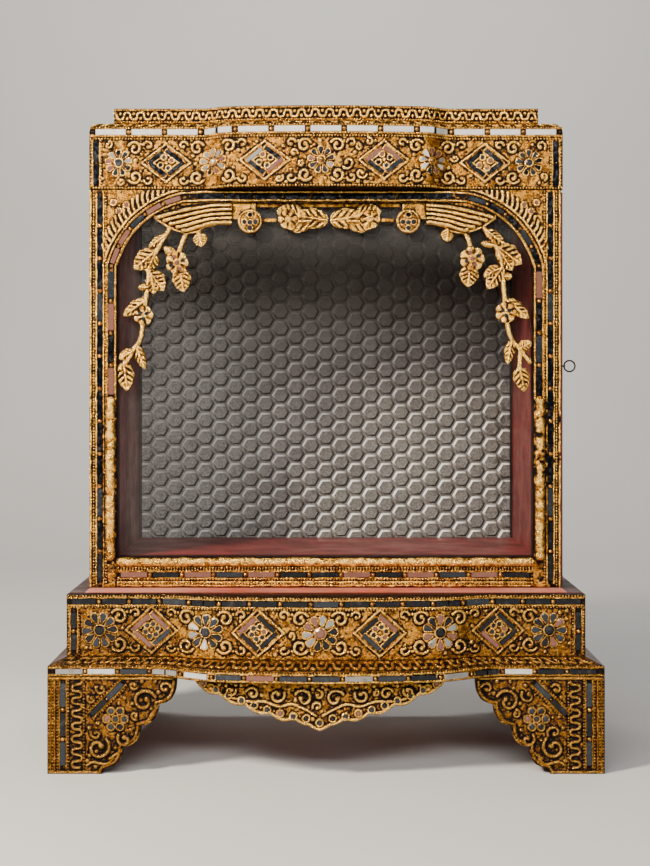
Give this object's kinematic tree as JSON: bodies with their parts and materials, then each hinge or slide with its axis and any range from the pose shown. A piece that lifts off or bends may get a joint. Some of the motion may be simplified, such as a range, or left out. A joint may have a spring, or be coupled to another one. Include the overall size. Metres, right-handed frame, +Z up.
{
  "type": "temple shrine",
  "caption": "Small gilded wooden shrine with a glazed, carved door on a lacquered case, a bowed cornice and base, and bracket feet, for a figure or offerings.",
  "frame": {"origin": "middle of the footprint, on the ground under the feet", "axes": "+Z up, the front with the door faces -Y, +X to the viewer's right"},
  "size_m": [0.5068, 0.3432, 0.6181],
  "materials": {
    "gilded_lacquer": "raised putty ornament and carved wood under worn gold leaf, dark in its recesses, with small mirror-glass tiles",
    "dark_lacquer": "old brown-red lacquer over wood, worn and dusty",
    "red_lacquer": "dusty red lacquer",
    "patterned_sheet": "grey silvered sheet pressed with a hexagon pattern, tarnished along one edge",
    "clear_glass": "clear old window glass, dusty at its edges",
    "dark_iron": "dark rusted iron"
  },
  "bodies": {
    "shrine": {"foot_front_left": "gilded_lacquer", "foot_front_right": "gilded_lacquer", "front_apron": "gilded_lacquer", "ledge_front": "gilded_lacquer", "base_frieze": "gilded_lacquer", "cornice_frieze": "gilded_lacquer", "cornice_moulding": "gilded_lacquer", "crown_slab": "gilded_lacquer", "foot_side_left_front": "dark_lacquer", "foot_side_left_back": "dark_lacquer", "foot_side_right_front": "dark_lacquer", "foot_side_right_back": "dark_lacquer", "foot_back_left": "dark_lacquer", "foot_back_right": "dark_lacquer", "ledge_left": "dark_lacquer", "ledge_right": "dark_lacquer", "ledge_back": "dark_lacquer", "base_side_left": "dark_lacquer", "base_side_right": "dark_lacquer", "base_back": "dark_lacquer", "back_board": "dark_lacquer", "cornice_side_left": "dark_lacquer", "cornice_side_right": "dark_lacquer", "cornice_back": "dark_lacquer", "base_top": "red_lacquer", "post_front_left": "red_lacquer", "post_front_right": "red_lacquer", "post_back_left": "red_lacquer", "post_back_right": "red_lacquer", "side_panel_left": "red_lacquer", "side_panel_right": "red_lacquer", "case_sill": "red_lacquer", "case_floor": "red_lacquer", "hexagon_sheet": "patterned_sheet", "hinge_low_case_leaf": "dark_iron", "hinge_high_case_leaf": "dark_iron"},
    "door": {"stile_left": "gilded_lacquer", "stile_right": "gilded_lacquer", "rail_bottom": "gilded_lacquer", "rail_top": "gilded_lacquer", "door_glass": "clear_glass", "spandrel_left": "gilded_lacquer", "spandrel_right": "gilded_lacquer", "garland": "gilded_lacquer", "hinge_low_door_leaf": "dark_iron", "hinge_high_door_leaf": "dark_iron", "door_eye": "dark_iron"}
  },
  "joints": [
    {"name": "door_hinge", "type": "hinge", "parent": "shrine", "child": "door", "pos_m": [-0.2256, -0.03785, 0.35], "axis": [0, 0, -1], "range_deg": [0, 110]}
  ]
}
